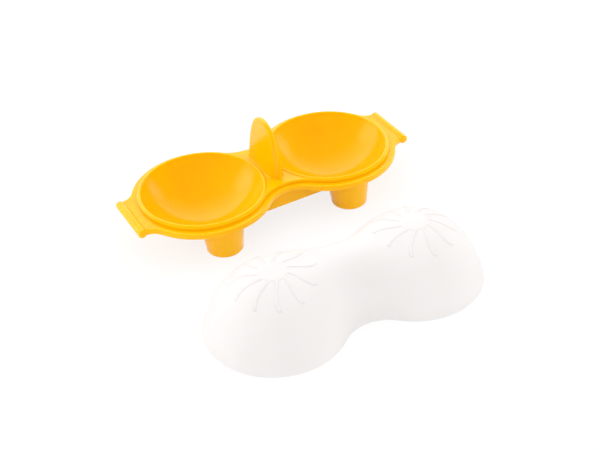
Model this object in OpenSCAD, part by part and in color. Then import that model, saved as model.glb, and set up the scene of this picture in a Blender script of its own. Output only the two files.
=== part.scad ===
// Two-cup egg poacher for a microwave: a one-piece tray and its domed lid.
// The tray stands on four hollow feet. The lid lies beside it, dome up,
// as it does when it has just been taken off.

/* [Tray] */
// Radius of each cup at the crest of its rim bead
rim_r = 42.7; // [35:0.1:50]
// Distance between the crests of the two rims at the waist
rim_apart = 13.2; // [12:0.1:24]
// Depth of each cup below its rim
cup_depth = 26; // [18:0.5:27]
// Radius of the round rim bead
bead_r = 1.2; // [0.8:0.1:2]
// Wall thickness of the tray
wall = 1.9; // [1.4:0.1:2.6]

/* [Ledge] */
// Height of the ledge's top face above the floor
ledge_z = 28.3; // [26:0.1:36]
// Depth of the skirt below the ledge's top face
skirt_h = 3.9; // [2.6:0.1:8]
// Width of the ledge outside the raised step
ledge_w = 4.3; // [3:0.1:9]
// Width of the ledge at the waist
ledge_waist_w = 2.7; // [2:0.1:6]
// Width of the raised step outside the rims' crests
step_w = 1.7; // [1.3:0.1:5]
// Half width of the raised step at the waist
step_waist = 25.5; // [22:0.1:30]
// Height of the raised step above the ledge
step_h = 2.6; // [1:0.1:6]
// Height of the rims' crests above the raised step
rim_up = 0.7; // [0.3:0.1:3]

/* [Handles] */
// How far each handle stands out beyond the ledge
grip_out = 7.1; // [6:0.1:20]
// Width of each handle
grip_w = 39; // [28:0.2:50]
// Radius of the sweep from handle side to ledge
grip_fillet = 11; // [6:0.5:16]
// Radius of the round bead along the end of each handle
roll_r = 3.05; // [2.4:0.05:3.5]
// Height of the bead above the ledge
roll_up = 0.9; // [0.3:0.1:2]

/* [Fin] */
// Height of the fin above the raised step
fin_h = 36.9; // [24:0.1:50]
// Length of the fin along the waist at its foot
fin_len = 38.5; // [24:0.5:44]
// Thickness of the fin at its foot
fin_t = 10.6; // [6:0.1:14]
// Thickness of the fin near its tip
fin_tip_t = 3; // [2:0.1:5]

/* [Feet] */
// Distance of each foot's axis from the long centre line
foot_y = 29.2; // [20:0.1:34]
// Radius of a foot at the floor
foot_r = 12.6; // [8:0.1:16]
// Growth of the foot's radius for each mm of height
foot_draft = 0.07; // [0.02:0.01:0.12]
// Rounding of the foot's bottom edge
foot_round = 1; // [0.5:0.1:3]

/* [Webs] */
// Distance of each web from the long centre line
web_y = 24.4; // [16:0.1:27]
// Height of the web's bottom edge
web_z = 12.8; // [8:0.1:20]
// Thickness of each web
web_t = 1.9; // [1.2:0.1:3]

/* [Lid] */
// Wall thickness of the lid
lid_wall = 1.2; // [0.9:0.1:2]
// Clearance all round between the raised step and the lid that is put on it
lid_fit = 0.4; // [0.2:0.05:1]
// Clearance above the fin under the saddle of the lid that is put on
fin_fit = 0.5; // [0.3:0.1:8]
// Rise of each dome above the saddle between the domes
dome_rise = 2; // [0.5:0.1:14]
// Lid position on the floor, left to right
lid_x = -9; // [-40:0.5:40]
// Free floor between the tray's ledge and the lid in front of it
lid_apart = 21.9; // [8:0.1:60]
// Turn of the lid on the floor, degrees
lid_turn = -2.8; // [-10:0.1:10]

/* [Rays on the lid] */
// Number of raised rays on each dome
ray_n = 11; // [8:1:12]
// Radius of the raised disc that the rays run out of
disc_r = 9; // [6:0.1:12]
// Distance from a dome's axis to the ends of its rays
ray_r = 27.2; // [20:0.1:32]
// Half width of a ray where it leaves the disc
ray_w = 0.75; // [0.5:0.05:1.2]
// Half width of a ray at its flared end
ray_end_w = 1.7; // [0.8:0.05:2.5]
// Height of the rays and the disc above the dome
ray_up = 0.45; // [0.2:0.05:0.8]
// Angle by which a ray sways as it runs out, degrees
ray_sway = 12; // [0:0.5:16]

/* [Hidden] */
// each outline is one width outside the last, from the cups outwards
half_gap = rim_r + rim_apart / 2;
step_r = rim_r + step_w;
ledge_r = step_r + ledge_w;
ledge_waist = step_waist + ledge_waist_w;
tray_len = 2 * (half_gap + ledge_r + grip_out);
step_z = ledge_z + step_h;
rim_z = step_z + rim_up;
skirt_z = ledge_z - skirt_h;
fin_z = step_z + fin_h;
foot_x = half_gap;
// the lid goes over the step, rests on the ledge and clears the fin
lid_r = step_r + lid_fit + lid_wall;
lid_waist = step_waist + lid_fit + lid_wall;
saddle_h = fin_z + fin_fit - ledge_z + lid_wall;
lid_h = saddle_h + dome_rise;
// the whole set is moved so that the middle of its box is over the origin
lid_half_x = half_gap * cos(lid_turn) + lid_r;
lid_half_y = half_gap * abs(sin(lid_turn)) + lid_r;
lid_y = -(ledge_r + lid_apart + lid_half_y);
box_x0 = min(-tray_len / 2, lid_x - lid_half_x);
box_x1 = max(tray_len / 2, lid_x + lid_half_x);
box_y0 = min(-ledge_r, lid_y - lid_half_y);
box_y1 = max(ledge_r, lid_y + lid_half_y);
move_x = -(box_x0 + box_x1) / 2;
move_y = -(box_y0 + box_y1) / 2;
// cup: one spherical bowl inside, a parallel one outside
mouth_r = rim_r - 0.9;
cup_in = (mouth_r * mouth_r + cup_depth * cup_depth) / (2 * cup_depth);
cup_cz = rim_z - 0.4 - cup_depth + cup_in;
cup_out = cup_in + wall;
bead_z = rim_z - bead_r;
$fn = 96;

// radius of the hollow arc that joins two circles of radius r
// so that the half width in the middle is w
function arc_r(r, w) = (half_gap * half_gap + w * w - r * r) / (2 * (r - w));

// half width of the two-lobed outline at a distance x from the middle
function half_at(r, w, x) =
    let (a = arc_r(r, w), t = half_gap * a / (r + a), d = abs(x))
    d < t ? w + a - sqrt(a * a - d * d)
          : sqrt(max(0, r * r - (d - half_gap) * (d - half_gap)));

// the same outline as points, anticlockwise, with n steps on each lobe
function lobes(r, w, n = 64, m = 20) =
    let (a = arc_r(r, w), yc = w + a, t = atan2(yc, half_gap))
    concat(
        [for (i = [0:n]) let (q = -(180 - t) + i * 2 * (180 - t) / n)
            [half_gap + r * cos(q), r * sin(q)]],
        [for (i = [1:m - 1]) let (q = -t - i * (180 - 2 * t) / m)
            [a * cos(q), yc + a * sin(q)]],
        [for (i = [0:n]) let (q = t + i * 2 * (180 - t) / n)
            [-half_gap + r * cos(q), r * sin(q)]],
        [for (i = [1:m - 1]) let (q = 180 - t - i * (180 - 2 * t) / m)
            [a * cos(q), -yc + a * sin(q)]]);

// outline of one handle, from inside the lobe to the end, both sides
module grip_shape(r, inset) {
    x1 = tray_len / 2 - roll_r - inset;
    y1 = grip_w / 2 - inset;
    f = grip_fillet + inset;
    yc = y1 + f;
    // fillet centre touches the lobe circle from outside
    dx = sqrt(max(1, (r + f) * (r + f) - yc * yc));
    xc = half_gap + dx;
    q0 = atan2(-yc, -dx);
    side = [for (i = [0:10]) let (q = -90 + (q0 + 90) * i / 10)
        [xc + f * cos(q), yc + f * sin(q)]];
    polygon(concat([[half_gap, -y1 / 2], [half_gap, y1 / 2]],
        [for (i = [10:-1:0]) side[i]],
        [[x1, y1], [x1, -y1]],
        [for (i = [0:10]) [side[i][0], -side[i][1]]]));
}

module tray_shape(r, w, inset) {
    polygon(lobes(r - inset, w - inset));
    grip_shape(r - inset, inset);
    mirror([1, 0]) grip_shape(r - inset, inset);
}

module at_cups() {
    for (k = [-1, 1])
        translate([k * half_gap, 0, 0]) children();
}

// foot outline in section, from its axis out, with a rounded bottom edge
function foot_side(r, top) = concat(
    [[0, 0]],
    [for (i = [0:4]) let (q = -90 + i * 22.5)
        [r - foot_round + foot_round * cos(q), foot_round + foot_round * sin(q)]],
    [[r + foot_draft * top, top], [0, top]]);

module feet(cut) {
    top = skirt_z + 2;
    for (k = [-1, 1], j = [-1, 1])
        translate([k * foot_x, j * foot_y, 0])
            if (cut)
                translate([0, 0, -1])
                    cylinder(h = top - 1.5, r1 = foot_r - wall - foot_draft,
                        r2 = foot_r - wall + foot_draft * (top - 2.5), $fn = 48);
            else
                rotate_extrude($fn = 64) polygon(foot_side(foot_r, top));
}

// fin sections: a rounded oblong at each height, closing over the top
fin_base = step_z - 0.6;
function fin_half(u) = (fin_len / 2) * pow(max(0, 1 - pow(u, 2.9)), 0.36) * (1 - 0.12 * u);
function fin_thick(u) = (fin_tip_t + (fin_t - fin_tip_t) * pow(1 - u, 1.2)) / 2;
fin_levels = [0, 0.1, 0.22, 0.35, 0.48, 0.6, 0.7, 0.78, 0.85, 0.9, 0.94, 0.97, 0.99];

module fin() {
    n = 28;
    k = len(fin_levels);
    ring = [for (u = fin_levels)
        let (b = fin_half(u), t = min(fin_thick(u), b * 0.8), z = fin_base + (fin_z - fin_base) * u)
        for (i = [0:n - 1]) let (q = (i + 0.5) * 360 / n, c = cos(q), s = sin(q))
            [t * c, (b - t) * sign(s) + t * s, z]];
    pts = concat(ring, [[0, 0, fin_base], [0, 0, fin_z]]);
    foot = k * n;
    tip = k * n + 1;
    faces = concat(
        [for (i = [0:n - 1]) [foot, i, (i + 1) % n]],
        [for (j = [0:k - 2], i = [0:n - 1])
            [j * n + i, (j + 1) * n + i, (j + 1) * n + (i + 1) % n]],
        [for (j = [0:k - 2], i = [0:n - 1])
            [j * n + i, (j + 1) * n + (i + 1) % n, j * n + (i + 1) % n]],
        [for (i = [0:n - 1]) [tip, (k - 1) * n + (i + 1) % n, (k - 1) * n + i]]);
    polyhedron(pts, faces, convexity = 4);
}

// the round bead along the end of each handle, and a thin ridge inside it
module grip_ends() {
    h = grip_w + 1;
    e = 1.2;
    for (k = [0, 1])
        mirror([k, 0, 0]) {
            translate([tray_len / 2 - roll_r, h / 2, ledge_z + roll_up - roll_r])
                rotate([90, 0, 0]) rotate_extrude($fn = 48)
                    polygon(concat(
                        [[0, 0], [roll_r - e, 0]],
                        [for (i = [1:4]) [roll_r - e + e * sin(22.5 * i), e - e * cos(22.5 * i)]],
                        [for (i = [0:3]) [roll_r - e + e * cos(22.5 * i), h - e + e * sin(22.5 * i)]],
                        [[roll_r - e, h], [0, h]]));
            translate([tray_len / 2 - 2 * roll_r, grip_w / 2 - 0.6, ledge_z - 0.15])
                rotate([90, 0, 0]) cylinder(h = grip_w - 1.2, r = 0.55, $fn = 20);
        }
}

module tray() {
    color([1, 0.72, 0.03])
        difference() {
            union() {
                // ledge with its skirt, and the raised step
                difference() {
                    union() {
                        translate([0, 0, skirt_z])
                            linear_extrude(ledge_z - skirt_z)
                                tray_shape(ledge_r, ledge_waist, 0);
                        translate([0, 0, skirt_z + 0.5])
                            linear_extrude(step_z - skirt_z - 0.5)
                                polygon(lobes(step_r, step_waist));
                        grip_ends();
                    }
                    translate([0, 0, skirt_z - 1])
                        linear_extrude(ledge_z - skirt_z + 1 - wall)
                            tray_shape(ledge_r, ledge_waist, wall);
                    translate([0, 0, skirt_z - 1])
                        linear_extrude(step_z - skirt_z + 1 - wall)
                            polygon(lobes(step_r - wall, step_waist - wall));
                }
                // cups, cut level at their rims
                at_cups() difference() {
                    translate([0, 0, cup_cz]) sphere(r = cup_out, $fn = 128);
                    translate([0, 0, step_z + cup_out + 1])
                        cube(2 * cup_out + 2, center = true);
                }
                at_cups() rotate_extrude($fn = 128)
                    translate([rim_r, bead_z]) circle(r = bead_r, $fn = 24);
                at_cups() difference() {
                    translate([0, 0, bead_z - 2]) cylinder(h = 2, r = rim_r, $fn = 128);
                    translate([0, 0, bead_z - 3]) cylinder(h = 4, r = rim_r - wall, $fn = 128);
                }
                difference() {
                    feet(false);
                    feet(true);
                }
                // webs between the feet, under the waist
                for (j = [-1, 1])
                    translate([0, j * web_y, (web_z + skirt_z + 3) / 2])
                        cube([2 * (foot_x - foot_r) + 2, web_t, skirt_z + 3 - web_z],
                            center = true);
                fin();
            }
            at_cups() intersection() {
                translate([0, 0, cup_cz]) sphere(r = cup_in, $fn = 128);
                cylinder(h = rim_z, r = rim_r, $fn = 128);
            }
        }
}

// height of a dome surface at a share s of the way out to the rim
function dome_z(top, s) = top * pow(max(0, 1 - pow(s, 2.7)), 0.85);

// ridge height above the long centre line
function ridge(x, top, low) =
    low + (top - low) * (0.5 - 0.5 * cos(180 * pow(min(1, abs(x) / half_gap), 1.7)));

// height of the lid's surface: a dome outside, a vault between the domes
function lid_z(x, y, r, w, top, low) =
    let (d = abs(x))
    d >= half_gap ? dome_z(top, norm([d - half_gap, y]) / r)
                  : dome_z(ridge(d, top, low), abs(y) / half_at(r, w, d));

// Each half of the lid is a fan of columns round its dome's axis. A column
// number counts from the way to the other dome, and eight go to each ray.
cols = 8 * ray_n;
edge = 0.9 * ray_up;
corner_col = floor(atan2(lid_waist, half_gap) * cols / 360) + 0.5;
function col(i) = i - cols / 2 + 0.5;

// plain direction of a column, with one column exactly at the waist
function spread(c, w) =
    let (q = atan2(w, half_gap), d = abs(c))
    sign(c) * (d <= corner_col ? d * q / corner_col
        : q + (d - corner_col) * (180 - q) / (cols / 2 - corner_col));

// distance from a dome's axis to the end of its half in a direction
function reach(q, r, w) =
    let (a = arc_r(r, w), yc = w + a, d = abs(q), m = half_gap * cos(d) + yc * sin(d))
    d <= atan2(w, half_gap) + 0.001 ? half_gap / cos(d)
    : d < atan2(yc, half_gap) ? m - sqrt(max(0, m * m - half_gap * half_gap - yc * yc + a * a))
    : r;

// how far along its ray a distance from the axis is, from 0 to 1
function along(p) = max(0, min(1, (p - disc_r) / (ray_r - disc_r)));

// half width of a ray: slim, then flared, and rounded off at its end
function ray_half(t) = (ray_w + (ray_end_w - ray_w) * pow(t, 4)) * sqrt(1 - 0.7 * pow(t, 12));

// direction of a column that follows its swaying ray or lies between two
function ray_dir(c, p) =
    let (n = round(c / 8), d = abs(c - 8 * n), t = along(p), g = 180 / ray_n,
        a = (ray_half(t) + (d > 1 ? edge : 0)) * 180 / PI / p)
    2 * g * n - ray_sway * sin(130 * t)
        + sign(c - 8 * n) * (a + max(0, d - 1.5) / 2.5 * (g - a));

// rings of the outer skin: distances across the rays, then shares to the rim
near = concat([disc_r, disc_r + edge],
    [for (f = [0.12, 0.26, 0.4, 0.54, 0.68, 0.8, 0.9, 1])
        disc_r + edge + f * (ray_r - disc_r - edge)],
    [ray_r + edge]);
far = [0.13, 0.27, 0.42, 0.57, 0.71, 0.83, 0.92, 0.97, 1];
// rings of the inner skin, as shares of the way to the rim
plain = [0.12, 0.25, 0.38, 0.51, 0.63, 0.74, 0.84, 0.92, 0.97, 1];

// one point of a skin, p away from the right dome's axis in direction q
function skin_pt(q, p, v, c, r, w, top, low, up) =
    let (x = half_gap - p * cos(q), y = -p * sin(q))
    [x, y, v == 1 && abs(c) >= corner_col ? 0 : lid_z(x, y, r, w, top, low) + up];

function outer_pt(j, c) =
    let (m = len(near), on_ray = j < m, p0 = on_ray ? near[j] : near[m - 1],
        v = on_ray ? 0 : far[j - m], q0 = ray_dir(c, p0),
        q = q0 + min(1, 2 * v) * (spread(c, lid_waist) - q0),
        raised = j == 0 || (j < m - 1 && abs(c - 8 * round(c / 8)) < 1))
    skin_pt(q, p0 + v * (reach(q, lid_r, lid_waist) - p0), v, c,
        lid_r, lid_waist, lid_h, saddle_h, raised ? ray_up : 0);

function inner_pt(j, c) =
    let (r = lid_r - lid_wall, w = lid_waist - lid_wall, q = spread(c, w))
    skin_pt(q, plain[j] * reach(q, r, w), plain[j], c,
        r, w, lid_h - lid_wall, saddle_h - lid_wall, 0);

// the other half is the same fan turned by half a turn
function half_turn(p, k) = k == 0 ? p : [-p[0], -p[1], p[2]];
function is_waist(i) = abs(col(i)) <= corner_col;

// number of a point in a skin of m rings that starts at number b; the halves
// share the points of their last ring that lie on the middle plane
function no(b, m, j, k, i) =
    b + 2 + (j == m - 1 && k == 1 && is_waist(i) ? 2 * j * cols + cols - 1 - i
        : (2 * j + k) * cols + i);

function fan_faces(b, m, inside) =
    let (tris = concat(
        [for (k = [0, 1], i = [0:cols - 1]) let (e = (i + 1) % cols)
            [b + k, no(b, m, 0, k, i), no(b, m, 0, k, e)]],
        [for (k = [0, 1], j = [0:m - 2], i = [0:cols - 1]) let (e = (i + 1) % cols)
            [no(b, m, j, k, i), no(b, m, j + 1, k, i), no(b, m, j + 1, k, e)]],
        [for (k = [0, 1], j = [0:m - 2], i = [0:cols - 1]) let (e = (i + 1) % cols)
            [no(b, m, j, k, i), no(b, m, j + 1, k, e), no(b, m, j, k, e)]]))
    [for (t = tris) inside ? t : [t[0], t[2], t[1]]];

module lid() {
    m = len(near) + len(far);
    n = len(plain);
    b = 2 + 2 * m * cols;
    pts = concat(
        [for (k = [1, -1]) [k * half_gap, 0, lid_h + ray_up]],
        [for (j = [0:m - 1], k = [0, 1], i = [0:cols - 1]) half_turn(outer_pt(j, col(i)), k)],
        [for (k = [1, -1]) [k * half_gap, 0, lid_h - lid_wall]],
        [for (j = [0:n - 1], k = [0, 1], i = [0:cols - 1]) half_turn(inner_pt(j, col(i)), k)]);
    rim = [for (k = [0, 1], i = [0:cols - 1]) let (e = (i + 1) % cols)
        if (!(is_waist(i) && is_waist(e)))
            [no(0, m, m - 1, k, i), no(0, m, m - 1, k, e),
                no(b, n, n - 1, k, e), no(b, n, n - 1, k, i)]];
    color([0.95, 0.95, 0.94])
        translate([lid_x, lid_y, 0]) rotate([0, 0, lid_turn])
            polyhedron(pts, concat(fan_faces(0, m, false), fan_faces(b, n, true),
                [for (f = rim) [f[0], f[1], f[2]]], [for (f = rim) [f[0], f[2], f[3]]]),
                convexity = 6);
}

translate([move_x, move_y, 0]) {
    tray();
    lid();
}
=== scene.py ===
# %% [markdown]
# # A two-cup egg poacher for the microwave
# The real object is two mouldings of polypropylene. The yellow tray has two
# round cups, a ledge that carries the lid, a handle at each end, a fin to hold
# it by and four hollow feet. The frosted lid has two domes with a wreath of
# wavy rays on each. Here it has been taken off and lies in front of the tray.
#
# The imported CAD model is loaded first. It says where things are, and the
# surfaces below are drawn finer than its solids, in the same places.

import bmesh
import bpy
import numpy as np
from mathutils import Matrix, Vector


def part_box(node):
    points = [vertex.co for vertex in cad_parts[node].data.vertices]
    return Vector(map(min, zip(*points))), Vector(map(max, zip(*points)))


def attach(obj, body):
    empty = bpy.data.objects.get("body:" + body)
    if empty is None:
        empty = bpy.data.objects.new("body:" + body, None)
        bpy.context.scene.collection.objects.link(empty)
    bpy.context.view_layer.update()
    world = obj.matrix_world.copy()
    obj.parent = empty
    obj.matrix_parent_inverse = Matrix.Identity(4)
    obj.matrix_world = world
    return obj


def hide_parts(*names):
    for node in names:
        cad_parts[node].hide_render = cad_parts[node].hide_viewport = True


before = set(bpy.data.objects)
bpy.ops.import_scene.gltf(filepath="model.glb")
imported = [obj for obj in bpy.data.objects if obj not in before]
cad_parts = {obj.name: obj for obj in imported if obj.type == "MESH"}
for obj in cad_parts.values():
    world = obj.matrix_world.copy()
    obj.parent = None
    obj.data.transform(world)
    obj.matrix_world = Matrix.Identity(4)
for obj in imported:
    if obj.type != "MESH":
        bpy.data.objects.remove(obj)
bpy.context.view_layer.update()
MM = 0.001

tray_low, tray_high = (np.array(c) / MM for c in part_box("tray"))
lid_low, lid_high = (np.array(c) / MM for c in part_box("lid"))
tray_place = (tray_low + tray_high) / 2 * [1, 1, 0]
lid_place = (lid_low + lid_high) / 2 * [1, 1, 0]
print("tray centre, mm", tray_place, "lid centre, mm", lid_place)

# %% [markdown]
# ## Sizes
# All sizes are in millimetres, with the tray's centre on the floor at zero.
# They are the driving sizes of the solid model, so that the fine surfaces and
# the solids agree. In the names R is a radius, Z a height above the floor, T a
# thickness, W a width, and WAIST half the width between the cups. The ROLL is
# the handle's rolled end, and the RIDGE the thin bead beside it.

# %% Sizes of the two mouldings
HALF_GAP = 98.6 / 2
WALL = 1.9
RIM_R, RIM_Z, BEAD_R = 42.7, 31.6, 1.2
CUP_DEPTH = 26.0
LEDGE_R, LEDGE_WAIST, LEDGE_Z, SKIRT_Z = 48.7, 28.2, 28.3, 24.4
LEDGE_UNDER_Z = LEDGE_Z - WALL
STEP_R, STEP_WAIST, STEP_Z = 44.4, 25.5, 30.9
TRAY_LEN, GRIP_W, GRIP_FILLET, GRIP_CORNER = 210.2, 39.0, 11.0, 0.5
ROLL_R, ROLL_UP, ROLL_EDGE, ROLL_OVER = 3.05, 0.9, 1.2, 0.5
RIDGE_R, RIDGE_UP, RIDGE_EDGE, RIDGE_SHORT = 0.55, 0.4, 0.4, 0.6
FIN_Z, FIN_LEN, FIN_T, FIN_TIP_T, FIN_FILLET = 67.8, 38.5, 10.6, 3.0, 1.2
FOOT_X, FOOT_Y, FOOT_R, FOOT_DRAFT = 49.3, 29.2, 12.6, 0.07
WEB_Y, WEB_Z, WEB_T = 24.4, 12.8, 1.9
LID_R, LID_WAIST, LID_H, SADDLE_H, LID_WALL = 46.0, 27.1, 43.2, 41.2, 1.2
LID_TURN = np.radians(-2.8)
RAYS, DISC_R, RAY_R, RAY_UP, RAY_SWAY = 11, 9.0, 27.2, 0.45, 12.0
RAY_W, RAY_END_W = 0.75, 1.7

MOUTH_R = RIM_R - 0.9
MOUTH_Z = RIM_Z - 0.4
CUP_IN = (MOUTH_R**2 + CUP_DEPTH**2) / (2 * CUP_DEPTH)
CUP_CZ = MOUTH_Z - CUP_DEPTH + CUP_IN
CUP_OUT = CUP_IN + WALL
CUP_MID = CUP_IN + WALL / 2
print("cup sphere radius inside, mm", round(CUP_IN, 2))

# %% [markdown]
# ## Tools for surfaces
# A moulding is mostly one section carried round an outline. A section is a row
# of corners, each rounded by its own radius, because a moulded edge is never
# sharp and the rounding is what catches the light.
#
# A tray modelled as many parts that only overlap would show through itself
# wherever its plastic lets light in. So every part is a closed surface, and a
# Boolean union welds them into one skin, as the mould makes it.


# %% Rounded sections, grids and meshes
SAME_POINT = 2e-6
SHARP = np.radians(40)


def rounded(corners, radii, steps=5, hold=0.25):
    """A closed section with arcs for corners.

    Each corner is cut back by radius / tan(half the corner's angle) along both
    sides, and the arc between is drawn through equal angles. A point `hold` mm
    before and after each arc keeps the flat beside it flat when shaded smooth.
    """
    c = np.asarray(corners, float)
    out = []
    for k, r in enumerate(radii):
        p, a, b = c[k], c[k - 1] - c[k], c[(k + 1) % len(c)] - c[k]
        la, lb = np.linalg.norm(a), np.linalg.norm(b)
        a, b = a / la, b / lb
        if r <= 0:
            out.append(p[None])
            continue
        half = np.arccos(np.clip(a @ b, -1, 1)) / 2
        back = r / np.tan(half)
        middle = p + (a + b) / np.linalg.norm(a + b) * r / np.sin(half)
        start, end = p + a * back - middle, p + b * back - middle
        t = np.linspace(0, 1, steps + 1)[:, None]
        sweep = np.pi - 2 * half
        arc = (np.sin((1 - t) * sweep) * start + np.sin(t * sweep) * end) / np.sin(sweep)
        if la > back + 2 * hold:
            out.append((p + a * (back + hold))[None])
        out.append(middle + arc)
        if lb > back + 2 * hold:
            out.append((p + b * (back + hold))[None])
    return np.vstack(out)


def grid_faces(rows, cols, wrap_rows):
    """Quads between neighbouring points of a grid stored row by row.

    The last column is joined to the first, and with wrap_rows so are the rows.
    """
    i, j = np.meshgrid(np.arange(rows if wrap_rows else rows - 1), np.arange(cols), indexing="ij")
    i2, j2 = (i + 1) % rows, (j + 1) % cols
    quad = np.stack([i * cols + j, i * cols + j2, i2 * cols + j2, i2 * cols + j], -1)
    return quad.reshape(-1, 4)


def surface(points, wrap_rows=False):
    """A grid of points (rows, cols, 3) as (vertices, quads)."""
    rows, cols = points.shape[:2]
    return points.reshape(-1, 3), grid_faces(rows, cols, wrap_rows)


def mirrored(part, axis):
    """A copy of (vertices, quads) on the other side of a plane through zero."""
    v = part[0].copy()
    v[:, axis] *= -1
    return v, part[1][:, ::-1]


def moved(part, x=0.0, y=0.0, z=0.0):
    """A copy of (vertices, quads) shifted by x, y and z."""
    return part[0] + [x, y, z], part[1]


def closed_mesh(name, part, place, turn=0.0, **values):
    """A mesh from (vertices, quads), turned, moved to its place and in metres.

    Points closer than SAME_POINT metres are merged, which closes seams and poles,
    and the closed surface is then faced outwards. Each extra value is kept as an
    attribute.
    """
    c, s = np.cos(turn), np.sin(turn)
    points = part[0] @ np.array([[c, s, 0], [-s, c, 0], [0, 0, 1]]) + place
    mesh = bpy.data.meshes.new(name)
    mesh.from_pydata(points * MM, [], part[1].tolist())
    for key, value in values.items():
        mesh.attributes.new(key, "FLOAT", "POINT").data.foreach_set("value", value)
    bm = bmesh.new()
    bm.from_mesh(mesh)
    bmesh.ops.remove_doubles(bm, verts=bm.verts, dist=SAME_POINT)
    bmesh.ops.recalc_face_normals(bm, faces=bm.faces)
    bm.to_mesh(mesh)
    bm.free()
    return mesh


def joined(parts):
    """Several (vertices, quads) as one."""
    counts = np.cumsum([0] + [len(v) for v, _ in parts])
    return np.vstack([v for v, _ in parts]), np.vstack([f + n for (_, f), n in zip(parts, counts)])


def place_piece(name, mesh, material):
    """An object at the origin from a mesh whose points are already in place.

    Edges that turn by more than SHARP stay sharp, and the rest are shaded smooth.
    """
    mesh.polygons.foreach_set("use_smooth", np.ones(len(mesh.polygons), bool))
    mesh.set_sharp_from_angle(angle=SHARP)
    mesh.materials.clear()
    mesh.materials.append(material)
    piece = bpy.data.objects.new(name, mesh)
    bpy.context.collection.objects.link(piece)
    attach(piece, "root")
    print(name, len(mesh.polygons), "faces")
    return piece


def keep_largest(mesh):
    """Splits the weld's faces into well-shaped triangles and drops slivers.

    Only the largest island stays. To find it, each point carries a label and
    takes the lowest one among its neighbours, over and over, until every island
    has one label.
    """
    bm = bmesh.new()
    bm.from_mesh(mesh)
    bmesh.ops.triangulate(bm, faces=bm.faces, quad_method="BEAUTY", ngon_method="BEAUTY")
    bm.to_mesh(mesh)
    ends = np.empty(2 * len(mesh.edges), int)
    mesh.edges.foreach_get("vertices", ends)
    a, b = ends.reshape(-1, 2).T
    label, before = np.arange(len(mesh.vertices)), None
    while not np.array_equal(label, before):
        before = label.copy()
        low = np.minimum(label[a], label[b])
        np.minimum.at(label, a, low)
        np.minimum.at(label, b, low)
        label = label[label]
    main = np.bincount(label).argmax()
    bm.verts.ensure_lookup_table()
    stray = [bm.verts[k] for k in np.flatnonzero(label != main)]
    bmesh.ops.delete(bm, geom=stray, context="VERTS")
    bm.to_mesh(mesh)
    bm.free()
    print("slivers dropped, points", len(stray))


def in_order(mesh):
    """The same triangles as a new mesh with points and faces in a fixed order.

    The Boolean works in several threads, which hand in their faces in a different
    order each run. Points are sorted by place. Each face starts at its lowest
    point, and the faces are sorted too.
    """
    points = np.empty(3 * len(mesh.vertices), np.float32)
    mesh.vertices.foreach_get("co", points)
    points = points.reshape(-1, 3)
    order = np.lexsort(points.T)
    corners = np.empty(len(mesh.loops), int)
    mesh.loops.foreach_get("vertex_index", corners)
    faces = np.argsort(order)[corners].reshape(-1, 3)
    turn = (faces.argmin(1)[:, None] + [0, 1, 2]) % 3
    faces = np.take_along_axis(faces, turn, 1)
    faces = faces[np.lexsort(faces.T)]
    result = bpy.data.meshes.new(mesh.name)
    result.from_pydata(points[order], [], faces.tolist())
    return result


def welded(name, parts, place):
    """One closed mesh from closed parts that overlap, as a mould would give it.

    The parts become objects for a moment, a Boolean modifier unites them, and
    only the united mesh is kept.
    """
    helpers = bpy.data.collections.new("parts to weld")
    objects = [bpy.data.objects.new(name, closed_mesh(name, part, place)) for part in parts]
    for piece in objects[1:]:
        helpers.objects.link(piece)
    bpy.context.collection.objects.link(objects[0])
    bpy.context.scene.collection.children.link(helpers)
    weld = objects[0].modifiers.new("weld", "BOOLEAN")
    weld.operation, weld.solver = "UNION", "MANIFOLD"
    weld.operand_type, weld.collection = "COLLECTION", helpers
    result = objects[0].evaluated_get(bpy.context.evaluated_depsgraph_get())
    mesh = bpy.data.meshes.new_from_object(result)
    for piece in objects:
        bpy.data.objects.remove(piece)
    bpy.data.collections.remove(helpers)
    keep_largest(mesh)
    return in_order(mesh)


# %% [markdown]
# ## Outlines
# Seen from above, the ledge, the step and the lid share one kind of outline:
# a circle round each cup, joined at the waist by a hollow arc that touches both
# circles. Only a quarter is worked out; the rest is its mirror image.


# %% The two-lobed outline, with and without handles
def waist_arc(r, w):
    """(radius, centre height, touching angle) of the hollow arc at the waist.

    The arc's centre is above the middle, where a circle can touch both lobes of
    radius r and leave a half width w below it.
    """
    bend = (HALF_GAP**2 + w * w - r * r) / (2 * (r - w))
    return bend, w + bend, np.arctan2(w + bend, HALF_GAP)


def arc(cx, cy, r, a0, a1, n, hollow=False):
    """n + 1 points on an arc, with the outward normal at each."""
    q = np.linspace(a0, a1, n + 1)
    d = np.stack([np.cos(q), np.sin(q)], 1)
    return np.array([cx, cy]) + r * d, -d if hollow else d


def line(p0, p1, normal, n):
    """n + 1 points on a straight line, with the outward normal at each."""
    t = np.linspace(0, 1, n + 1)[:, None]
    return np.array(p0) * (1 - t) + np.array(p1) * t, np.tile(normal, (n + 1, 1))


def grip_fillet():
    """(centre x, centre y, direction from the cup) of the sweep to the handle."""
    cy = GRIP_W / 2 + GRIP_FILLET
    dx = np.sqrt((LEDGE_R + GRIP_FILLET) ** 2 - cy**2)
    return HALF_GAP + dx, cy, np.arctan2(cy, dx)


def whole(quarter):
    """All round, anticlockwise, from a quarter that runs from waist to end.

    A quarter is its points and their normals. Its end points lie on the mirror
    lines, so each is taken once.
    """
    back = slice(None, None, -1)
    flips = [([1, 1], back), ([-1, 1], slice(None)), ([-1, -1], back), ([1, -1], slice(None))]
    around = []
    for rows in quarter:
        first, second, third, last = (rows[order] * flip for flip, order in flips)
        around.append(np.vstack([first, second[1:], third[1:], last[1:-1]]))
    return tuple(around)


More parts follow.
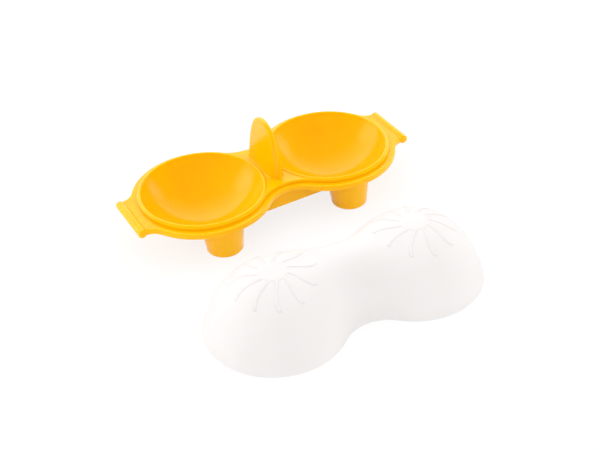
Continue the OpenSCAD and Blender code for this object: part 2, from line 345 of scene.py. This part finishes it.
def lobes(r, w, n_waist=24, n_lobe=90):
    """The two-lobed outline of radius r and half width w at the waist."""
    bend, bend_y, touch = waist_arc(r, w)
    waist, waist_out = arc(0, bend_y, bend, -np.pi / 2, -touch, n_waist, hollow=True)
    lobe, lobe_out = arc(HALF_GAP, 0, r, np.pi - touch, 0, n_lobe)
    return whole((np.vstack([waist, lobe[1:]]), np.vstack([waist_out, lobe_out[1:]])))


# %% [markdown]
# ## Ledge, skirt and handles
# The ledge is a flat shelf with a skirt hanging from its edge. At each end the
# same shelf sweeps out into a handle. The section is carried round the whole
# outline in one go, so ledge and handle are one surface, as in the moulding.


# %% Ledge and handles
def ledge_part():
    """The shelf and skirt as one closed surface.

    Each row is the outer outline moved along its normal by the section's
    offset, at the section's height. The two innermost rows replace the section's
    first and last corner. They lie 1 mm inside the step's outline: along the
    waist and the lobe as the same arcs, and along the handle as each outer point
    drawn in towards the cup's centre.
    """
    bend, bend_y, touch = waist_arc(LEDGE_R, LEDGE_WAIST)
    sweep_x, sweep_y, turn = grip_fillet()
    end_x, end_y, corner = TRAY_LEN / 2 - ROLL_R, GRIP_W / 2, GRIP_CORNER
    n_waist, n_lobe = 24, 60
    pieces = [
        arc(0, bend_y, bend, -np.pi / 2, -touch, n_waist, hollow=True),
        arc(HALF_GAP, 0, LEDGE_R, np.pi - touch, turn, n_lobe),
        arc(sweep_x, sweep_y, GRIP_FILLET, turn + np.pi, 1.5 * np.pi, 14, hollow=True),
        line((sweep_x, end_y), (end_x - corner, end_y), (0, 1), 3),
        arc(end_x - corner, end_y - corner, corner, np.pi / 2, 0, 2),
        line((end_x, end_y - corner), (end_x, 0), (1, 0), 8),
    ]
    points = np.vstack([piece[0][min(k, 1):] for k, piece in enumerate(pieces)])
    normals = np.vstack([piece[1][min(k, 1):] for k, piece in enumerate(pieces)])
    inner_r, inner_waist = STEP_R - 1, STEP_WAIST - 1
    bend, bend_y, touch = waist_arc(inner_r, inner_waist)
    waist, _ = arc(0, bend_y, bend, -np.pi / 2, -touch, n_waist)
    lobe, _ = arc(HALF_GAP, 0, inner_r, np.pi - touch, turn, n_lobe)
    handle = points[n_waist + n_lobe + 1:] - [HALF_GAP, 0]
    handle = handle / np.linalg.norm(handle, axis=1)[:, None] * inner_r + [HALF_GAP, 0]
    outer, normal = whole((points, normals))
    inner, _ = whole((np.vstack([waist, lobe[1:], handle]), normals))
    top, low, under = LEDGE_Z, SKIRT_Z, LEDGE_UNDER_Z
    section = rounded(
        [(-3, top), (0, top), (0, low), (-WALL, low), (-WALL, under), (-3, under)],
        [0, 0.8, 0.45, 0.45, 0.3, 0],
    )
    rows = [np.c_[inner, np.full(len(inner), top)]]
    rows += [np.c_[outer + normal * d, np.full(len(outer), z)] for d, z in section[1:-1]]
    rows += [np.c_[inner, np.full(len(inner), under)]]
    return surface(np.array(rows), wrap_rows=True)


def bead_bar(r, half_len, end, n):
    """A round bar along Y with rounded ends, drawn with n lengthwise strips.

    A half section, radius against length, is turned about the bar's axis. Near
    each end the radius falls by a quarter round of `end` millimetres.
    """
    q = np.radians(np.linspace(0, 90, 7))
    flat = half_len - end
    radius = np.concatenate([[0], r - end + end * np.sin(q), r - end + end * np.cos(q), [0]])
    y = np.concatenate([[-half_len], -flat - end * np.cos(q), flat + end * np.sin(q), [half_len]])
    t = np.linspace(0, 2 * np.pi, n, endpoint=False)
    radius, y = radius[:, None], y[:, None]
    return surface(np.stack([radius * np.cos(t), y + 0 * t, radius * np.sin(t)], -1))


def grip_parts():
    """The bead and the thin ridge of the right handle, and their mirror."""
    bead = bead_bar(ROLL_R, GRIP_W / 2 + ROLL_OVER, ROLL_EDGE, n=40)
    ridge = bead_bar(RIDGE_R, GRIP_W / 2 - RIDGE_SHORT, RIDGE_EDGE, n=16)
    right = [
        moved(bead, TRAY_LEN / 2 - ROLL_R, 0, LEDGE_Z + ROLL_UP - ROLL_R),
        moved(ridge, TRAY_LEN / 2 - 2 * ROLL_R, 0, LEDGE_Z + RIDGE_UP - RIDGE_R),
    ]
    return right + [mirrored(p, 0) for p in right]


# %% [markdown]
# ## Step and plateau
# Inside the ledge the tray rises by a small step, which centres the lid. Its
# flat top fills the waist between the cups. A ray from a cup's centre meets
# either the step's outline or the middle plane, so half the plateau is a fan of
# such rays, and the other half is its mirror image.


# %% Fans of rays round a cup
def reach(q, r, w):
    """Distance from a cup's axis to the end of its half of a two-lobed outline.

    q is the direction, measured from the way to the other cup. Small q ends on
    the middle plane, at HALF_GAP / cos q. Then comes the first crossing with the
    hollow arc, m - sqrt(m^2 - D^2 + bend^2), where m is how far the arc's centre
    lies along the ray and D how far it lies away. The rest is the lobe's circle.
    """
    bend, bend_y, touch = waist_arc(r, w)
    d = np.abs(q)
    m = HALF_GAP * np.cos(d) + bend_y * np.sin(d)
    hollow = m - np.sqrt(np.maximum(m * m - HALF_GAP**2 - bend_y**2 + bend * bend, 0))
    plane = HALF_GAP / np.maximum(np.cos(d), 1e-6)
    return np.where(d <= np.arctan2(w, HALF_GAP) + 1e-5, plane, np.where(d < touch, hollow, r))


def plateau_parts():
    """The flat top and its underside, fanned round each cup.

    They end inside the step's wall and inside the cup's, so that the weld meets
    no walls that only touch.
    """
    r, w = STEP_R - 0.75, STEP_WAIST - 0.75
    corner = np.arctan2(w, HALF_GAP)
    q = np.concatenate([np.linspace(-corner, corner, 41)[:-1],
                        np.linspace(corner, 2 * np.pi - corner, 151)[:-1]])
    q = (q + np.pi) % (2 * np.pi) - np.pi
    near = np.full_like(q, RIM_R - 0.4)
    far = np.maximum(reach(q, r, w), near + 0.05)
    rows = [
        np.stack([HALF_GAP - p * np.cos(q), -p * np.sin(q), np.full_like(q, z)], -1)
        for p, z in ((near, STEP_Z), (far, STEP_Z), (far, STEP_Z - WALL), (near, STEP_Z - WALL))
    ]
    right = surface(np.array(rows), wrap_rows=True)
    return [right, mirrored(right, 0)]


def step_part():
    """The step's wall with its rounded top edge, carried round the outline.

    It ends 0.2 mm above the underside of the ledge, inside the plastic.
    """
    p, n = lobes(STEP_R, STEP_WAIST)
    low, top = LEDGE_UNDER_Z + 0.2, STEP_Z
    section = rounded(
        [(-1, top), (0, top), (0, low), (-WALL, low), (-WALL, top - WALL), (-1, top - WALL)],
        [0, 0.7, 0, 0.3, 0.3, 0],
    )
    rows = [np.c_[p + n * d, np.full(len(p), z)] for d, z in section]
    return surface(np.array(rows), wrap_rows=True)


# %% [markdown]
# ## Cups
# Each cup is a surface of revolution: a spherical bowl, the round bead of its
# rim, and a second sphere outside, one wall away.


# %% Cups
def revolved(section, n=160):
    """A section of (radius, height) turned once round the vertical."""
    q = np.linspace(0, 2 * np.pi, n, endpoint=False)
    r, z = section[:, :1], section[:, 1:]
    return surface(np.stack([r * np.cos(q), r * np.sin(q), z + 0 * q], -1))


def cup_part():
    """Bowl, bead and outside of one cup, from pole to pole."""
    inside = np.arcsin(MOUTH_R / CUP_IN)
    q = np.linspace(0, inside, 60)
    bowl = np.c_[CUP_IN * np.sin(q), CUP_CZ - CUP_IN * np.cos(q)]
    b = np.radians(np.linspace(160, -75, 22))
    bead = np.c_[RIM_R + BEAD_R * np.cos(b), RIM_Z - BEAD_R + BEAD_R * np.sin(b)]
    outside = np.arcsin((RIM_R + 0.2) / CUP_OUT)
    q = np.linspace(outside, 0, 40)
    back = np.c_[CUP_OUT * np.sin(q), CUP_CZ - CUP_OUT * np.cos(q)]
    return revolved(np.vstack([bowl[:-1], bead, back]))


# %% [markdown]
# ## Fin
# The fin is a tall tongue that stands across the waist. Its sections are rounded
# oblongs that get shorter and thinner upwards, and a small fillet spreads its
# foot onto the plateau.


# %% Fin
def fin_part(n=96, k=80):
    """A loft of rounded oblongs.

    With u from 0 at the foot to 1 at the tip, the half length is
    L * (1 - u^2.9)^0.36 * (1 - 0.12 u), with L half of FIN_LEN, and the thickness
    falls from FIN_T to FIN_TIP_T as (1 - u)^1.2. The loft starts 0.6 mm inside the
    plateau, and a quarter round of FIN_FILLET spreads its foot. Its rings lie
    closer together towards the tip, where it turns fastest.
    """
    base = STEP_Z - 0.6
    u = 1 - (1 - np.linspace(0, 1, k)) ** 1.7
    z = base + (FIN_Z - base) * u
    half_len = FIN_LEN / 2 * np.maximum(0, 1 - u**2.9) ** 0.36 * (1 - 0.12 * u)
    half_t = (FIN_TIP_T + (FIN_T - FIN_TIP_T) * (1 - u) ** 1.2) / 2
    half_t = np.minimum(half_t, 0.8 * half_len)
    rise = np.clip((z - STEP_Z) / FIN_FILLET, 0, 1)
    flare = FIN_FILLET * (1 - np.sqrt(1 - (1 - rise) ** 2))
    half_len, half_t = (half_len + flare)[:, None], (half_t + flare)[:, None]
    q = (np.arange(n) + 0.5) * 2 * np.pi / n
    x = half_t * np.cos(q)
    y = (half_len - half_t) * np.sign(np.sin(q)) + half_t * np.sin(q)
    rings = np.stack([x, y, np.broadcast_to(z[:, None], x.shape)], -1)
    bottom = rings[:1] * [0, 0, 1]
    return surface(np.concatenate([bottom, rings]))


# %% [markdown]
# ## Feet and webs
# The feet are hollow tapered tubes, open below. Their tops end inside the wall
# of the cup above, so nothing pokes through into the cup. A straight web joins
# the two feet on each side under the waist.


# %% Feet and webs
FOOT_START = 2.0
FOOT_TOP = LEDGE_UNDER_Z + 0.3


def cup_under(x, y):
    """Height of the middle of the cup's wall above a place on the floor."""
    d2 = (np.abs(x) - HALF_GAP) ** 2 + y**2
    return CUP_CZ - np.sqrt(np.maximum(CUP_MID**2 - d2, 1.0))


def foot_wall(radius, share, q):
    """One ring of a foot at a share of the way up to the wall of its cup."""
    x, y = radius * np.cos(q), radius * np.sin(q)
    top = np.minimum(cup_under(FOOT_X + x, FOOT_Y + y), FOOT_TOP)
    return np.stack([x, y, FOOT_START + (top - FOOT_START) * share], -1)


def foot_part():
    """One foot: rounded lower edge, tapered outside and inside, cut to the cup.

    The radius grows with height by FOOT_DRAFT, and each ring lies a share of
    the way from FOOT_START to the middle of the cup's wall. Where no cup is
    above, it ends at FOOT_TOP, inside the ledge.
    """
    q = np.linspace(0, 2 * np.pi, 72, endpoint=False)
    high = 2 * FOOT_START
    edge = rounded([(FOOT_R - WALL, 0), (FOOT_R, 0), (FOOT_R, high), (FOOT_R - WALL, high)],
                   [0.3, 1.0, 0, 0])
    edge = edge[edge[:, 1] < FOOT_START]
    r, z = edge[:, :1], edge[:, 1:]
    low = np.stack([r * np.cos(q), r * np.sin(q), z + 0 * q], -1)
    shares = np.linspace(0, 1, 12)[1:]
    radii = FOOT_R + FOOT_DRAFT * FOOT_TOP * shares
    outside = [foot_wall(r, share, q) for r, share in zip(radii, shares)]
    inside = [foot_wall(r - WALL, share, q) for r, share in zip(radii, shares)]
    ring = np.concatenate([inside[::-1], low, outside])
    return moved(surface(ring, wrap_rows=True), FOOT_X, FOOT_Y)


def web_part():
    """One web: a plate whose ends stop inside the cups and the feet.

    At a height z the middle of the cup's wall lies `across` mm from the cup's
    centre along the web, with across^2 = CUP_MID^2 - (CUP_CZ - z)^2 - WEB_Y^2.
    Lower down, the web ends 1.5 mm inside the foot. Its first and last ring have
    no thickness, which closes it.
    """
    z = np.linspace(WEB_Z, FOOT_TOP, 24)
    low = np.minimum(z, CUP_CZ - 1)
    across = np.sqrt(np.maximum(CUP_MID**2 - (CUP_CZ - low) ** 2 - WEB_Y**2, 0))
    end = np.minimum(HALF_GAP - across, FOOT_X - FOOT_R + 1.5)
    s = np.linspace(-1, 1, 40)
    s = np.concatenate([s, s[::-1]])
    side = np.repeat([-WEB_T / 2, WEB_T / 2], 40)
    thick = np.ones(len(z) + 2)
    thick[[0, -1]] = 0
    z, end = np.r_[z[0], z, z[-1]], np.r_[end[0], end, end[-1]]
    y = WEB_Y + thick[:, None] * side
    return surface(np.stack([end[:, None] * s, y, z[:, None] + 0 * s], -1))


# %% [markdown]
# ## Lid
# The lid's height is one function of its plan. Outside the cup centres it is a
# dome of revolution; between them it is a vault whose ridge dips to a saddle and
# whose feet follow the waist. The mesh is again a fan of rays round each dome's
# top, because the raised ornament there is made of rays.


# %% Lid form
def lid_height(x, y, r, w, top, low):
    """Height of the lid above its rim at x, y.

    dome: top * (1 - s^2.7)^0.85, with s the distance from the dome's axis as a
    share of r. vault: the same curve across the waist, with s = |y| / half width
    and the ridge's own height, a cosine of (|x| / HALF_GAP)^1.7 that runs from
    the saddle to the dome.
    """
    bend, bend_y, _ = waist_arc(r, w)
    d = np.abs(x)
    split = HALF_GAP * bend / (r + bend)
    waist = bend_y - np.sqrt(np.maximum(bend * bend - d * d, 0))
    lobe = np.sqrt(np.maximum(r * r - (d - HALF_GAP) ** 2, 0))
    half = np.where(d < split, waist, lobe)
    ridge = low + (top - low) * (0.5 - 0.5 * np.cos(np.pi * np.minimum(d / HALF_GAP, 1) ** 1.7))
    outside = d >= HALF_GAP
    s = np.where(outside, np.hypot(d - HALF_GAP, y) / r, np.abs(y) / np.maximum(half, 1e-6))
    peak = np.where(outside, top, ridge)
    return peak * np.maximum(1 - np.clip(s, 0, 1) ** 2.7, 0) ** 0.85


# %% [markdown]
# The wreath on each dome is eleven slim rays that run out of a raised disc, sway
# a little and end in a small flare. To keep their edges crisp the mesh follows
# them: each ray owns 24 columns of the fan, most of them close to its edges. An
# edge slopes over 2 * SOFT millimetres.

# %% Lid skins with the raised rays
PER_RAY = 24
COLS = RAYS * PER_RAY
COLUMN = np.arange(COLS) - COLS / 2 + 0.5
CORNER = np.floor(np.arctan2(LID_WAIST, HALF_GAP) * COLS / (2 * np.pi)) + 0.5
SOFT = 0.38


def spread(w):
    """Plain direction of each column, with one column exactly at the waist."""
    q, d = np.arctan2(w, HALF_GAP), np.abs(COLUMN)
    out = q + (d - CORNER) * (np.pi - q) / (COLS / 2 - CORNER)
    return np.sign(COLUMN) * np.where(d <= CORNER, d * q / CORNER, out)


def fall(e):
    """1 inside an edge, 0 outside it, and a smooth step 2 * SOFT wide between."""
    t = np.clip((e + SOFT) / (2 * SOFT), 0, 1)
    return 1 - t * t * (3 - 2 * t)


def ray_columns(p):
    """Direction and raised height of every column at a distance p.

    The ray's middle sways by RAY_SWAY * sin(130 degrees * t), t running from 0
    at the disc to 1 at its end. Its half width grows with t^4 into the flare and
    is rounded off by sqrt(1 - 0.7 t^12). On each side the first column lies on
    the ray, six lie across its edge, 0.16 mm apart, and five share the gap to the
    next ray.
    """
    t = np.clip((p - DISC_R) / (RAY_R - DISC_R), 0, 1)
    half = (RAY_W + (RAY_END_W - RAY_W) * t**4) * np.sqrt(1 - 0.7 * t**12)
    ray = np.round(COLUMN / PER_RAY)
    side = COLUMN - PER_RAY * ray
    k = (np.abs(side) - 0.5).astype(int)
    edge = np.clip(0.16 * (k - 3.5), -SOFT, SOFT)
    off = np.where(k == 0, 0.25 * half, half + edge)
    gap = np.pi / RAYS * p
    off = off + np.maximum(k - 6, 0) / 5.5 * (gap - off)
    middle = 2 * np.pi / RAYS * ray - np.radians(RAY_SWAY) * np.sin(np.radians(130) * t)
    q = middle + np.sign(side) * off / p
    up = RAY_UP * np.maximum(fall(p - DISC_R), fall(off - half) * fall(p - RAY_R))
    return q, up


def lid_outer():
    """Outer skin of the right half, as rings from the disc to the rim.

    The rings lie close together at the edges of the disc and of the rays' ends.
    Outside the rays, the columns turn back to their plain directions by half way.

    Beside the points it gives how much painted shade the rays' edges get there:
    with u their height as a share of the full height, 4 * u * (1 - u) is 1 half
    way up an edge.
    """
    plain = spread(LID_WAIST)
    edge = np.linspace(-SOFT, SOFT, 6)
    near = np.concatenate([
        [0, 3, 6, 8], DISC_R + edge, np.linspace(DISC_R + 0.9, RAY_R - 1.2, 32),
        [RAY_R - 0.8], RAY_R + edge])
    rows = []
    for p in near:
        q, up = ray_columns(max(p, 1))
        if p < DISC_R - 2 * SOFT:
            q = plain
        rows.append((q, np.full(COLS, p), up))
    last_q, last_p = ray_columns(near[-1])[0], near[-1]
    for v in np.sin(np.linspace(0, 1, 41)[1:] * np.pi / 2) ** 1.1:
        q = last_q + min(1, 2 * v) * (plain - last_q)
        rows.append((q, last_p + v * (reach(q, LID_R, LID_WAIST) - last_p), 0 * q))
    q, p, up = (np.array(a) for a in zip(*rows))
    x, y = HALF_GAP - p * np.cos(q), -p * np.sin(q)
    share = up / RAY_UP
    # painted shade: how much greyer the lid's colour is painted at the rays' edges
    steep = 4 * share * (1 - share) * (p > DISC_R + SOFT)
    return np.stack([x, y, lid_height(x, y, LID_R, LID_WAIST, LID_H, SADDLE_H) + up], -1), steep


def lid_inner():
    """Inner skin of the right half, one wall inside and quite plain."""
    r, w = LID_R - LID_WALL, LID_WAIST - LID_WALL
    q = spread(w)
    v = np.sin(np.linspace(0, 1, 26) * np.pi / 2)[:, None]
    p = v * reach(q, r, w)
    x, y = HALF_GAP - p * np.cos(q), -p * np.sin(q)
    return np.stack([x, y, lid_height(x, y, r, w, LID_H - LID_WALL, SADDLE_H - LID_WALL)], -1)


def lid_part():
    """Both skins, joined at the rim.

    The other half is turned by half a turn. The halves meet in the middle plane,
    so only the columns outside it get a face between the skins.
    """
    (outer, steep), inner = lid_outer(), lid_inner()
    outer[-1, np.abs(COLUMN) >= CORNER, 2] = 0
    inner[-1, np.abs(COLUMN) >= CORNER, 2] = 0
    on_rim = ~((np.abs(COLUMN) <= CORNER) & (np.abs(np.roll(COLUMN, -1)) <= CORNER))
    parts, edges = [], []
    for sign in (1, -1):
        turned = [skin * [sign, sign, 1] for skin in (outer, inner)]
        parts += [surface(turned[0]), surface(turned[1])]
        verts, quads = surface(np.array([turned[0][-1], turned[1][-1]]))
        parts.append((verts, quads[on_rim]))
        # painted edge shade for the outer skin, none for the inner skin and the rim
        edges += [steep.ravel(), np.zeros(inner[..., 0].size + len(verts))]
    return joined(parts), np.concatenate(edges)


# %% [markdown]
# ## Materials
# Both mouldings are polypropylene. A node tree is written as a list of nodes,
# each with its settings and links, by one small function. A Mix node has sockets
# of the same name for numbers and for colours, so the colours' sockets are given
# by their places.


# %% Colours and nodes
MIX_A, MIX_B, MIX_OUT = 6, 7, 2


def colour(code):
    """An sRGB hex colour as linear red, green, blue and alpha.

    Each channel c becomes c / 12.92 when dark and ((c + 0.055) / 1.055)^2.4
    otherwise.
    """
    c = np.array([int(code[i:i + 2], 16) for i in (1, 3, 5)]) / 255
    lin = np.where(c <= 0.04045, c / 12.92, ((c + 0.055) / 1.055) ** 2.4)
    return (*lin, 1.0)


def add_node(tree, kind, settings=(), links=()):
    """Adds a node, sets its sockets and properties, and links its inputs."""
    node = tree.nodes.new(kind)
    for key, value in dict(settings).items():
        if isinstance(key, int) or key in node.inputs:
            node.inputs[key].default_value = value
        else:
            setattr(node, key, value)
    for key, socket in dict(links).items():
        tree.links.new(socket, node.inputs[key])
    return node


def new_material(name):
    """An empty material with its output node."""
    m = bpy.data.materials.new(name)
    m.use_nodes = True
    m.node_tree.nodes.clear()
    out = m.node_tree.nodes.new("ShaderNodeOutputMaterial")
    return m, m.node_tree, out


# %% [markdown]
# The tray is glossy moulded polypropylene, dyed warm yellow right through. Light
# enters it by about a millimetre, so its shaded hollows turn orange: there the
# light is dyed again at each bounce. The dye is a little cloudy, at the size of
# a fingertip, and the polished mould leaves a gloss that wavers over a few
# millimetres, by about a hundredth of a millimetre in height. That keeps the
# reflections in the cups from looking like those in a mirror. Seen straight on
# they are a little warm, because dye lies right under the skin.

# %% Glossy yellow polypropylene
yellow_pp, tree, out = new_material("moulded polypropylene, glossy yellow")
where = add_node(tree, "ShaderNodeTexCoord")
cloud = add_node(tree, "ShaderNodeTexNoise", {"Scale": 1 / (14 * MM), "Detail": 2.0},
                 {"Vector": where.outputs["Object"]})
dye = add_node(tree, "ShaderNodeMix", {
    "data_type": "RGBA", MIX_A: colour("#FFB800"), MIX_B: colour("#FFC100"),
}, {"Factor": cloud.outputs["Fac"]})
polish = add_node(tree, "ShaderNodeTexNoise", {"Scale": 1 / (4 * MM), "Detail": 3.0},
                  {"Vector": where.outputs["Object"]})
gloss = add_node(tree, "ShaderNodeMapRange", {
    "From Min": 0.3, "From Max": 0.7, "To Min": 0.13, "To Max": 0.19,
}, {"Value": polish.outputs["Fac"]})
waver = add_node(tree, "ShaderNodeBump", {"Distance": 0.015 * MM},
                 {"Height": polish.outputs["Fac"]})
skin = add_node(tree, "ShaderNodeBsdfPrincipled", {
    "IOR": 1.49,
    "Specular Tint": colour("#FFDCA8"),
    "Subsurface Weight": 0.5,
    "Subsurface Radius": (1.0, 0.8, 0.5),
    "Subsurface Scale": 1.5 * MM,
}, {
    "Base Color": dye.outputs[MIX_OUT],
    "Roughness": gloss.outputs[0],
    "Normal": waver.outputs[0],
})
tree.links.new(skin.outputs[0], out.inputs[0])
print(yellow_pp.name, len(tree.nodes), "nodes")

# %% [markdown]
# The lid is thin natural polypropylene from a finely etched mould. It is milky:
# it lets light through but shows no clear image, so it is part plastic skin and
# part translucent. The plastic flowed from the gate in the middle to both ends
# and is a little cloudy in streaks along the lid. Both edges of every ray are
# painted a touch greyer: this is painted shade that outlines the raised rays. The
# etched grain is really about 0.2 mm wide. It is drawn 1.2 mm wide, the least
# that shows.

# %% Frosted natural polypropylene
frosted_pp, tree, out = new_material("moulded polypropylene, frosted natural")
where = add_node(tree, "ShaderNodeTexCoord")
along = add_node(tree, "ShaderNodeMapping", {
    "Rotation": (0, 0, -LID_TURN), "Scale": (0.3, 1, 1),
}, {"Vector": where.outputs["Object"]})
streak = add_node(tree, "ShaderNodeTexNoise", {"Scale": 1 / (8 * MM), "Detail": 3.0},
                  {"Vector": along.outputs[0]})
share = add_node(tree, "ShaderNodeMapRange", {
    "From Min": 0.3, "From Max": 0.7, "To Min": 0.40, "To Max": 0.48,
}, {"Value": streak.outputs["Fac"]})
etch = add_node(tree, "ShaderNodeTexNoise", {"Scale": 1 / (1.2 * MM), "Detail": 2.0},
                {"Vector": where.outputs["Object"]})
grain = add_node(tree, "ShaderNodeBump", {"Distance": 0.02 * MM},
                 {"Height": etch.outputs["Fac"]})
# painted shade: the lid's colour turns from #FAF8F7 to #EEEBEA along the rays' edges
edges = add_node(tree, "ShaderNodeAttribute", {"attribute_name": "steep"})
tint_and_painted_shade = add_node(tree, "ShaderNodeMix", {
    "data_type": "RGBA", MIX_A: colour("#FAF8F7"), MIX_B: colour("#EEEBEA"),
}, {"Factor": edges.outputs["Fac"]})
skin = add_node(tree, "ShaderNodeBsdfPrincipled", {"Roughness": 0.42, "IOR": 1.49},
                {"Base Color": tint_and_painted_shade.outputs[MIX_OUT], "Normal": grain.outputs[0]})
milky = add_node(tree, "ShaderNodeBsdfTranslucent", {},
                 {"Color": tint_and_painted_shade.outputs[MIX_OUT], "Normal": grain.outputs[0]})
blend = add_node(tree, "ShaderNodeMixShader", {},
                 {"Fac": share.outputs[0], 1: skin.outputs[0], 2: milky.outputs[0]})
tree.links.new(blend.outputs[0], out.inputs[0])
print(frosted_pp.name, len(tree.nodes), "nodes")

# %% [markdown]
# ## Put the pieces together
# The parts of the tray are welded into one skin, and the lid is one shell
# already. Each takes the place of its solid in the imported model.

# %% Build the tray and the lid
cup = cup_part()
foot = foot_part()
feet = [foot, mirrored(foot, 0), mirrored(foot, 1), mirrored(mirrored(foot, 0), 1)]
web = web_part()
tray_parts = [
    ledge_part(),
    step_part(),
    *plateau_parts(),
    moved(cup, HALF_GAP),
    moved(cup, -HALF_GAP),
    *grip_parts(),
    fin_part(),
    *feet,
    web,
    mirrored(web, 1),
]
tray = place_piece("tray_moulding", welded("tray_moulding", tray_parts, tray_place), yellow_pp)
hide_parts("tray")

# the lid keeps its painted edge shade as a point attribute for its material
lid_shell, steep = lid_part()
lid_mesh = closed_mesh("lid_moulding", lid_shell, lid_place, LID_TURN, steep=steep)
lid = place_piece("lid_moulding", lid_mesh, frosted_pp)
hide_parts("lid")

# %% [markdown]
# ## Floor, light and camera
# The photograph has no floor edge and hardly a shadow: it was taken on a white
# sheet. Here the floor is matt white board. The camera, reflections and light
# that passes through the lid see it mostly as even white, while light that
# bounces off it is that of plain board. One fifth of the board still shows, and
# that fifth keeps the soft shadow under the pieces.


# %% Floor
def seen_ray(tree):
    """Two sockets that are 1 for some rays and 0 for the rest.

    The first is 1 for a camera, glossy or transmission ray, the second for a
    glossy ray alone.
    """
    ray = add_node(tree, "ShaderNodeLightPath")
    direct = add_node(tree, "ShaderNodeMath", {"operation": "MAXIMUM"}, {
        0: ray.outputs["Is Camera Ray"], 1: ray.outputs["Is Transmission Ray"]})
    seen = add_node(tree, "ShaderNodeMath", {"operation": "MAXIMUM"}, {
        0: direct.outputs[0], 1: ray.outputs["Is Glossy Ray"]})
    return seen.outputs[0], ray.outputs["Is Glossy Ray"]


floor_white, tree, out = new_material("painted board, matt white")
board = add_node(tree, "ShaderNodeBsdfDiffuse", {"Color": colour("#FAFAFA")})
white = add_node(tree, "ShaderNodeEmission", {"Color": (1, 1, 1, 1), "Strength": 1.0})
seen, _ = seen_ray(tree)
even = add_node(tree, "ShaderNodeMath", {"operation": "MULTIPLY", 1: 0.8}, {0: seen})
sheet = add_node(tree, "ShaderNodeMixShader", {},
                 {"Fac": even.outputs[0], 1: board.outputs[0], 2: white.outputs[0]})
tree.links.new(sheet.outputs[0], out.inputs[0])

bpy.ops.mesh.primitive_plane_add(size=8, location=(0, 0, 0))
floor = bpy.context.object
floor.name = "floor"
floor.data.materials.append(floor_white)
print("floor", tuple(floor.dimensions), "m")

# %% [markdown]
# The world gives most of the light. It is soft and white, nearly two and a half
# times as strong from above and behind as from below, as under a studio's
# ceiling light, so the walls of the cups that face the camera are the darker
# ones. The camera sees it as plain white of strength 1, and so does light that
# passes through something.
#
# The cups are glossy, so what they reflect matters as much. Their bottoms show
# the bright backdrop and their far walls the dark room above it, with a soft
# edge between. Reflections therefore see bright white where the backdrop stands,
# and it falls off towards the ceiling and the front.

# %% World
world = bpy.data.worlds.new("studio")
bpy.context.scene.world = world
world.use_nodes = True
tree = world.node_tree
tree.nodes.clear()
out = tree.nodes.new("ShaderNodeOutputWorld")
where = add_node(tree, "ShaderNodeTexCoord")


def fade(direction, near, far):
    """A level that runs from near to far, each a pair (dot product, level).

    The dot product is that of the ray's direction and the given one.
    """
    dot = add_node(tree, "ShaderNodeVectorMath", {"operation": "DOT_PRODUCT", 1: direction},
                   {0: where.outputs["Generated"]})
    return add_node(tree, "ShaderNodeMapRange", {
        "From Min": near[0], "To Min": near[1], "From Max": far[0], "To Max": far[1],
    }, {"Value": dot.outputs["Value"]}).outputs[0]


ceiling = fade((0.05, 0.55, 0.83), (-1.0, 0.58), (1.0, 1.42))
backdrop = fade((0.2, 0.95, -0.15), (0.0, 0.03), (0.6, 1.6))
seen, glossy = seen_ray(tree)
shown = add_node(tree, "ShaderNodeMix", {"A": 1.0}, {"Factor": glossy, "B": backdrop})
soft = add_node(tree, "ShaderNodeBackground", {"Color": (1, 1, 1, 1)}, {"Strength": ceiling})
plain = add_node(tree, "ShaderNodeBackground", {"Color": (1, 1, 1, 1)},
                 {"Strength": shown.outputs["Result"]})
mix = add_node(tree, "ShaderNodeMixShader", {},
               {"Fac": seen, 1: soft.outputs[0], 2: plain.outputs[0]})
tree.links.new(mix.outputs[0], out.inputs[0])
print("world", len(tree.nodes), "nodes")

# %% [markdown]
# Broad lamps stand round the set, as at a product table. Two of them, behind on
# the left and on the right, are also seen in the cups as the two pale patches.
# The windows and the white card low in front only lighten the sides of the fin,
# the feet and the lid, so they are kept out of the reflections.


# %% Lamps
def softbox(name, at, toward, size, power, reflected):
    """A square area lamp at a place, facing a point, in metres and watts.

    Glossy surfaces show it only where reflected is true.
    """
    lamp = bpy.data.lights.new(name, "AREA")
    lamp.size = size
    lamp.energy = power
    box = bpy.data.objects.new(name, lamp)
    bpy.context.collection.objects.link(box)
    box.location = at
    box.rotation_euler = (Vector(toward) - Vector(at)).to_track_quat("-Z", "Y").to_euler()
    box.visible_glossy = reflected
    print(name, power, "W")


softbox("softbox left", (-0.95, 0.75, 0.55), (0, 0.05, 0.02), 0.6, 1.4, True)
softbox("softbox right", (1.2, 0.0, 0.4), (0, 0.05, 0.02), 0.5, 0.9, True)
softbox("window left", (-1.15, 0.4, 0.55), (0, 0, 0.02), 0.4, 1.3, False)
softbox("window right", (1.15, -0.35, 0.5), (0, 0, 0.02), 0.4, 1.0, False)
softbox("card in front", (0.25, -1.1, 0.1), (0, -0.08, 0.02), 0.5, 0.6, False)

# %% [markdown]
# The camera was fitted to the rims of the cups, the feet and the handles: it
# looks down by about 37 degrees and along the tray from its left front. Its
# place is in millimetres from the tray's centre on the floor.

# %% Camera
CAM_PLACE = np.array([-288.76, -585.72, 473.88])
CAM_RIGHT = np.array([0.86579, -0.49868, -0.04147])
CAM_UP = np.array([0.33095, 0.50849, 0.79493])
CAM_LENS = 68.08

lens = bpy.data.cameras.new("camera")
lens.lens = CAM_LENS
lens.sensor_width = 36.0
lens.clip_start = 0.01
camera = bpy.data.objects.new("camera", lens)
bpy.context.collection.objects.link(camera)
axes = np.stack([CAM_RIGHT, CAM_UP, np.cross(CAM_RIGHT, CAM_UP)], 1)
pose = np.eye(4)
pose[:3, :3] = axes
pose[:3, 3] = (CAM_PLACE + tray_place) * MM
camera.matrix_world = Matrix(pose.tolist())
scene = bpy.context.scene
scene.camera = camera
scene.view_settings.view_transform = "Standard"
print("camera at, mm", (CAM_PLACE + tray_place).round(1))
